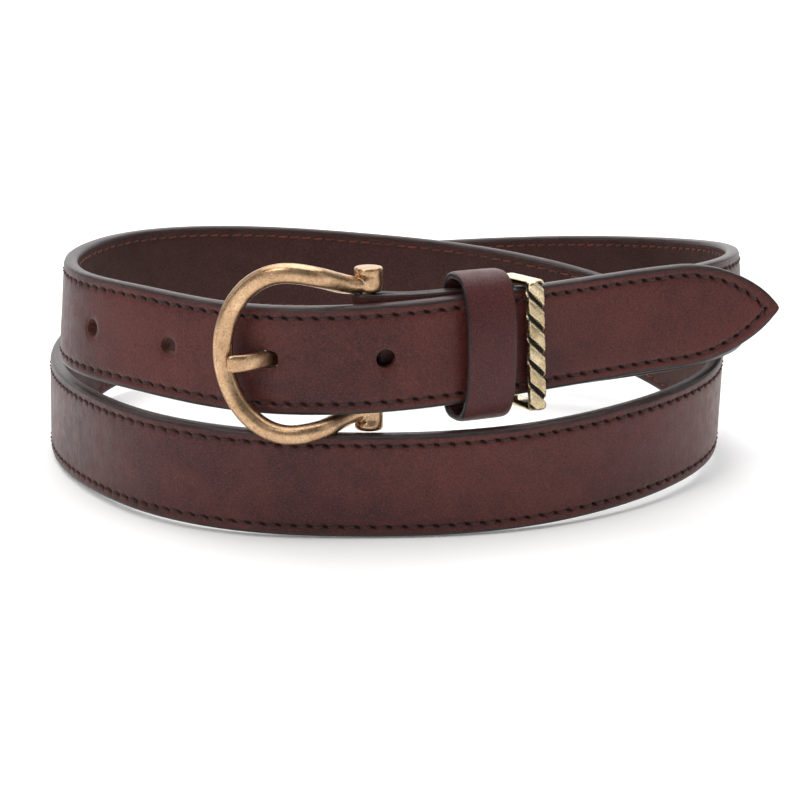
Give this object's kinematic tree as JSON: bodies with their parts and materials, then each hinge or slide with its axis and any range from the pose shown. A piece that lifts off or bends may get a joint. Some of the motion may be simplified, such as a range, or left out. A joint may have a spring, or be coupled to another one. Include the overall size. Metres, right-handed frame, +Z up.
{
  "type": "leather belt",
  "caption": "Narrow dress belt in lined, edge-stitched leather, buckled and coiled in two turns on its edge, with a C-shaped prong buckle, a leather keeper and a metal keeper.",
  "frame": {"origin": "bottom centre of the coiled belt's bounding box, on the surface that it stands on", "axes": "+Z up; -Y towards the front, where the buckle is; +X towards the pointed tip"},
  "size_m": [0.1888, 0.184, 0.0646],
  "materials": {
    "grain_leather": "dark red-brown full-grain leather, satin, painted edges",
    "lining_leather": "very dark brown smooth lining leather",
    "thread": "dark brown waxed thread",
    "buckle_brass": "antiqued brass, brushed, with a speckled patina",
    "keeper_brass": "antiqued brass with black recesses",
    "staple_steel": "plain wire"
  },
  "bodies": {
    "strap": {"strap_outer_leather": "grain_leather", "strap_lining": "lining_leather", "face_stitching": "thread", "lining_stitching": "thread", "turnback_stitching": "thread"},
    "frame": {"buckle_frame": "buckle_brass", "buckle_bar": "buckle_brass"},
    "prong": {"buckle_prong": "buckle_brass"},
    "leather_loop": {"leather_keeper": "grain_leather", "keeper_staple": "staple_steel"},
    "metal_loop": {"metal_keeper": "keeper_brass"}
  },
  "joints": [
    {"name": "frame_swing", "type": "hinge", "parent": "strap", "child": "frame", "pos_m": [-0.00624, -0.08185, 0.04403], "axis": [0, 0, 1], "range_deg": [-0.8, 1.2]},
    {"name": "prong_swing", "type": "hinge", "parent": "strap", "child": "prong", "pos_m": [-0.00624, -0.08185, 0.04403], "axis": [0, 0, 1], "range_deg": [-0.8, 1.2]},
    {"name": "leather_keeper_slide", "type": "slide", "parent": "strap", "child": "leather_loop", "axis": [-0.906, -0.4212, -0.0427], "range_m": [-0.001, 0.005]},
    {"name": "metal_keeper_slide", "type": "slide", "parent": "strap", "child": "metal_loop", "axis": [-0.8663, -0.4991, -0.0224], "range_m": [-0.005, 0.001]}
  ],
  "couplings": [
    {"joint": "prong_swing", "follows": "frame_swing", "ratio": 1}
  ]
}
